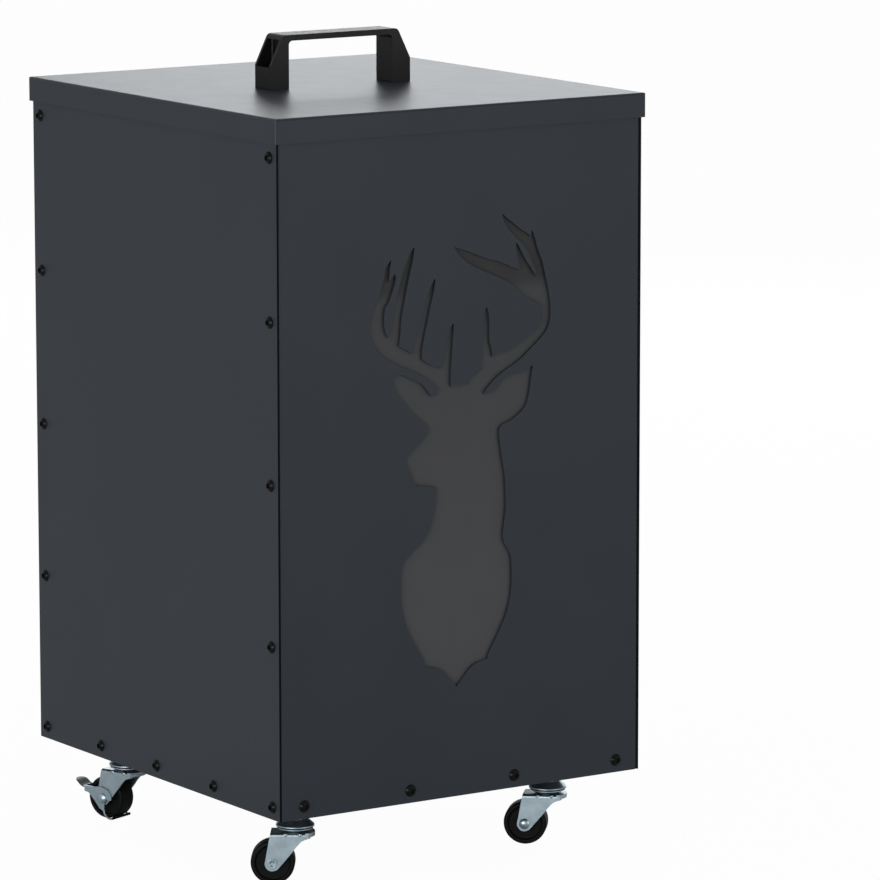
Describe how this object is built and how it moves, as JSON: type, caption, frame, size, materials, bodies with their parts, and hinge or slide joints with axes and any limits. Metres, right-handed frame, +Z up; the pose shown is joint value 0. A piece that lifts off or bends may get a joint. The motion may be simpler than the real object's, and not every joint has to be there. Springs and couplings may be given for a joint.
{
  "type": "pellet storage bin",
  "caption": "Folded-steel storage bin for wood pellets, with a lift-off handled lid, swivel casters and a backed trophy-head cut-out in its front.",
  "frame": {"origin": "on the floor below the middle of the bin's outside box", "axes": "+Z up; -Y toward the front with the trophy-head cut-out; +X toward the right-hand side as seen from the front"},
  "size_m": [0.364, 0.4, 0.6915],
  "materials": {
    "graphite_paint": "fine satin powder coat, dark graphite",
    "backing_paint": "matt powder coat, warm dark grey",
    "black_steel": "black oxide",
    "zinc_plate": "bright zinc plating",
    "bearing_steel": "polished",
    "handle_plastic": "satin, moulded",
    "wheel_plastic": "satin, moulded"
  },
  "bodies": {
    "bin": {"front_panel": "graphite_paint", "stag_backing_plate": "backing_paint", "back_panel": "graphite_paint", "left_side_panel": "graphite_paint", "right_side_panel": "graphite_paint", "bottom_plate": "graphite_paint", "left_side_screws": "black_steel", "right_side_screws": "black_steel", "front_screws": "black_steel", "back_screws": "black_steel", "left_side_nuts": "zinc_plate", "right_side_nuts": "zinc_plate", "front_nuts": "zinc_plate", "back_nuts": "zinc_plate", "caster_lock_nuts": "zinc_plate", "caster_washers": "zinc_plate", "caster_nuts": "zinc_plate", "front_left_stem": "zinc_plate", "front_left_race": "zinc_plate", "front_right_stem": "zinc_plate", "front_right_race": "zinc_plate", "rear_left_stem": "zinc_plate", "rear_left_race": "zinc_plate", "rear_right_stem": "zinc_plate", "rear_right_race": "zinc_plate"},
    "lid": {"lid_panel": "graphite_paint", "lid_handle": "handle_plastic", "handle_screws": "black_steel", "handle_washers": "zinc_plate", "handle_nuts": "zinc_plate"},
    "front_left_swivel": {"front_left_fork": "zinc_plate", "front_left_balls": "bearing_steel", "front_left_axle": "zinc_plate"},
    "front_left_roller": {"front_left_wheel": "wheel_plastic"},
    "front_right_swivel": {"front_right_fork": "zinc_plate", "front_right_balls": "bearing_steel", "front_right_axle": "zinc_plate"},
    "front_right_roller": {"front_right_wheel": "wheel_plastic"},
    "rear_left_swivel": {"rear_left_fork": "zinc_plate", "rear_left_balls": "bearing_steel", "rear_left_axle": "zinc_plate"},
    "rear_left_roller": {"rear_left_wheel": "wheel_plastic"},
    "rear_left_brake": {"rear_left_brake_lever": "zinc_plate"},
    "rear_right_swivel": {"rear_right_fork": "zinc_plate", "rear_right_balls": "bearing_steel", "rear_right_axle": "zinc_plate"},
    "rear_right_roller": {"rear_right_wheel": "wheel_plastic"},
    "rear_right_brake": {"rear_right_brake_lever": "zinc_plate"}
  },
  "joints": [
    {"name": "lid_lift", "type": "slide", "parent": "bin", "child": "lid", "axis": [0, 0, 1], "range_m": [0, 0.15]},
    {"name": "front_left_turn", "type": "hinge", "parent": "bin", "child": "front_left_swivel", "pos_m": [-0.127, -0.137, 0.048], "axis": [0, 0, 1], "continuous": true},
    {"name": "front_left_roll", "type": "hinge", "parent": "front_left_swivel", "child": "front_left_roller", "pos_m": [-0.14215, -0.12639, 0.0185], "axis": [-0.5736, -0.8192, 0], "continuous": true},
    {"name": "front_right_turn", "type": "hinge", "parent": "bin", "child": "front_right_swivel", "pos_m": [0.127, -0.137, 0.048], "axis": [0, 0, 1], "continuous": true},
    {"name": "front_right_roll", "type": "hinge", "parent": "front_right_swivel", "child": "front_right_roller", "pos_m": [0.11304, -0.12486, 0.0185], "axis": [-0.6561, -0.7547, 0], "continuous": true},
    {"name": "rear_left_turn", "type": "hinge", "parent": "bin", "child": "rear_left_swivel", "pos_m": [-0.127, 0.137, 0.048], "axis": [0, 0, 1], "continuous": true},
    {"name": "rear_left_roll", "type": "hinge", "parent": "rear_left_swivel", "child": "rear_left_roller", "pos_m": [-0.13363, 0.15427, 0.0185], "axis": [-0.9336, -0.3584, 0], "continuous": true},
    {"name": "rear_left_brake_press", "type": "hinge", "parent": "rear_left_swivel", "child": "rear_left_brake", "pos_m": [-0.13363, 0.15427, 0.0185], "axis": [-0.9336, -0.3584, 0], "range_deg": [0, 15]},
    {"name": "rear_right_turn", "type": "hinge", "parent": "bin", "child": "rear_right_swivel", "pos_m": [0.127, 0.137, 0.048], "axis": [0, 0, 1], "continuous": true},
    {"name": "rear_right_roll", "type": "hinge", "parent": "rear_right_swivel", "child": "rear_right_roller", "pos_m": [0.11561, 0.15158, 0.0185], "axis": [-0.788, -0.6157, 0], "continuous": true},
    {"name": "rear_right_brake_press", "type": "hinge", "parent": "rear_right_swivel", "child": "rear_right_brake", "pos_m": [0.11561, 0.15158, 0.0185], "axis": [-0.788, -0.6157, 0], "range_deg": [0, 15]}
  ]
}
